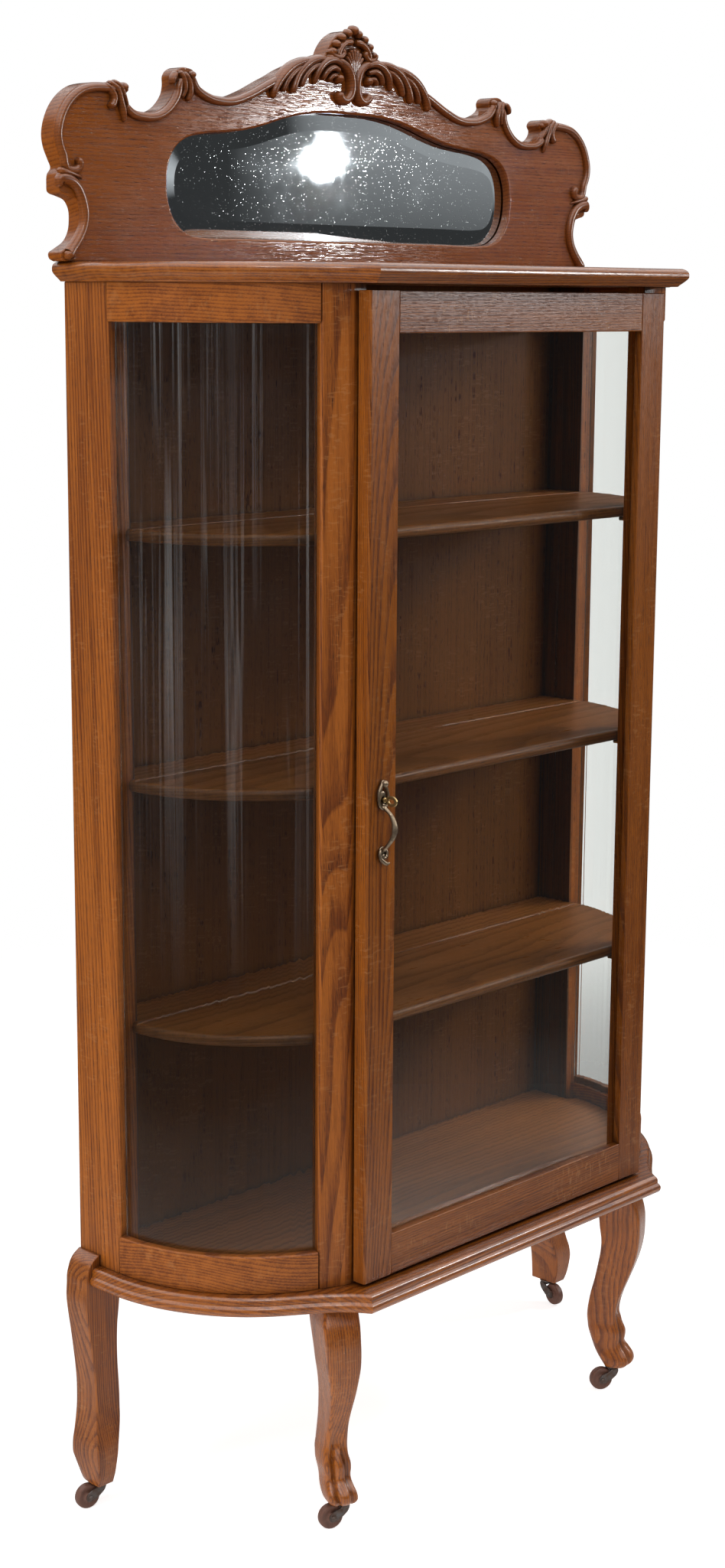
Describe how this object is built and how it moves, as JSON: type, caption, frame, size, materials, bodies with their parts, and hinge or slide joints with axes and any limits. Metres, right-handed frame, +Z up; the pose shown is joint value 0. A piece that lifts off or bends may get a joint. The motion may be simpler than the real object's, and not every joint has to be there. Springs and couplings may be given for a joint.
{
  "type": "china cabinet",
  "caption": "Bow-sided oak china cabinet with a flat glass door, curved side glass, grooved shelves, mirrored shaped crest and cabriole legs on swivel casters.",
  "frame": {"origin": "centre of the overall box in plan, on the floor under the caster wheels", "axes": "+X to the right seen from the front, +Y to the back, +Z up; the door faces -Y"},
  "size_m": [0.932, 0.334, 1.765],
  "materials": {
    "oak": "gloss varnish",
    "oak_crest": "gloss varnish",
    "oak_inner": "satin varnish",
    "oak_carved": "satin varnish",
    "glass": "clear old window glass",
    "mirror": "silvered, bevelled",
    "cast_metal": "aged casting",
    "brass": "aged",
    "iron": "dark, worn",
    "wheel_wood": "worn"
  },
  "bodies": {
    "cabinet": {"crest_board": "oak_crest", "crest_mirror": "mirror", "mirror_backing": "oak_inner", "crest_carving": "oak_carved", "top_board": "oak", "base_board": "oak", "floor_board": "oak_inner", "back_panel": "oak_inner", "rear_post_left": "oak", "side_stile_left": "oak", "front_post_left": "oak", "side_bottom_rail_left": "oak", "side_top_rail_left": "oak", "side_glass_left": "glass", "rear_post_right": "oak", "side_stile_right": "oak", "front_post_right": "oak", "side_bottom_rail_right": "oak", "side_top_rail_right": "oak", "side_glass_right": "glass", "shelf_1": "oak_inner", "shelf_2": "oak_inner", "shelf_3": "oak_inner", "pin_rear_1_left": "brass", "pin_front_1_left": "brass", "pin_rear_1_right": "brass", "pin_front_1_right": "brass", "pin_rear_2_left": "brass", "pin_front_2_left": "brass", "pin_rear_2_right": "brass", "pin_front_2_right": "brass", "pin_rear_3_left": "brass", "pin_front_3_left": "brass", "pin_rear_3_right": "brass", "pin_front_3_right": "brass", "hinge_1_post_leaf": "brass", "hinge_2_post_leaf": "brass", "front_leg_left": "oak", "front_leg_right": "oak", "rear_leg_left": "oak", "rear_leg_right": "oak"},
    "door": {"door_stile_left": "oak", "door_stile_right": "oak", "door_bottom_rail": "oak", "door_top_rail": "oak", "door_glass": "glass", "door_pull": "cast_metal", "lock_case": "iron", "hinge_1_door_leaf": "brass", "hinge_2_door_leaf": "brass"},
    "key": {"door_key": "brass"},
    "bolt": {"lock_bolt": "brass"},
    "swivel_front_left": {"caster_horn_front_left": "iron"},
    "wheel_front_left": {"caster_wheel_front_left": "wheel_wood"},
    "swivel_front_right": {"caster_horn_front_right": "iron"},
    "wheel_front_right": {"caster_wheel_front_right": "wheel_wood"},
    "swivel_rear_left": {"caster_horn_rear_left": "iron"},
    "wheel_rear_left": {"caster_wheel_rear_left": "wheel_wood"},
    "swivel_rear_right": {"caster_horn_rear_right": "iron"},
    "wheel_rear_right": {"caster_wheel_rear_right": "wheel_wood"}
  },
  "joints": [
    {"name": "door_hinge", "type": "hinge", "parent": "cabinet", "child": "door", "pos_m": [0.2703, -0.1238, 0.883], "axis": [0, 0, 1], "range_deg": [0, 110]},
    {"name": "key_turn", "type": "hinge", "parent": "door", "child": "key", "pos_m": [-0.242, -0.1412, 0.889], "axis": [0, -1, 0], "range_deg": [0, 360]},
    {"name": "bolt_slide", "type": "slide", "parent": "door", "child": "bolt", "axis": [-1, 0, 0], "range_m": [0, 0.008]},
    {"name": "swivel_front_left", "type": "hinge", "parent": "cabinet", "child": "swivel_front_left", "pos_m": [-0.2634, -0.10604, 0.03], "axis": [0, 0, 1], "continuous": true},
    {"name": "roll_front_left", "type": "hinge", "parent": "swivel_front_left", "child": "wheel_front_left", "pos_m": [-0.27844, -0.10057, 0.0155], "axis": [-0.342, -0.9397, 0], "continuous": true},
    {"name": "swivel_front_right", "type": "hinge", "parent": "cabinet", "child": "swivel_front_right", "pos_m": [0.2634, -0.10604, 0.03], "axis": [0, 0, 1], "continuous": true},
    {"name": "roll_front_right", "type": "hinge", "parent": "swivel_front_right", "child": "wheel_front_right", "pos_m": [0.24998, -0.09732, 0.0155], "axis": [-0.5446, -0.8387, 0], "continuous": true},
    {"name": "swivel_rear_left", "type": "hinge", "parent": "cabinet", "child": "swivel_rear_left", "pos_m": [-0.4315, 0.1435, 0.03], "axis": [0, 0, 1], "continuous": true},
    {"name": "roll_rear_left", "type": "hinge", "parent": "swivel_rear_left", "child": "wheel_rear_left", "pos_m": [-0.44715, 0.14683, 0.0155], "axis": [-0.2079, -0.9781, 0], "continuous": true},
    {"name": "swivel_rear_right", "type": "hinge", "parent": "cabinet", "child": "swivel_rear_right", "pos_m": [0.4315, 0.1435, 0.03], "axis": [0, 0, 1], "continuous": true},
    {"name": "roll_rear_right", "type": "hinge", "parent": "swivel_rear_right", "child": "wheel_rear_right", "pos_m": [0.42872, 0.12774, 0.0155], "axis": [0.9848, -0.1736, 0], "continuous": true}
  ],
  "couplings": [
    {"joint": "bolt_slide", "follows": "key_turn", "m_per_rad": 0.00127}
  ]
}
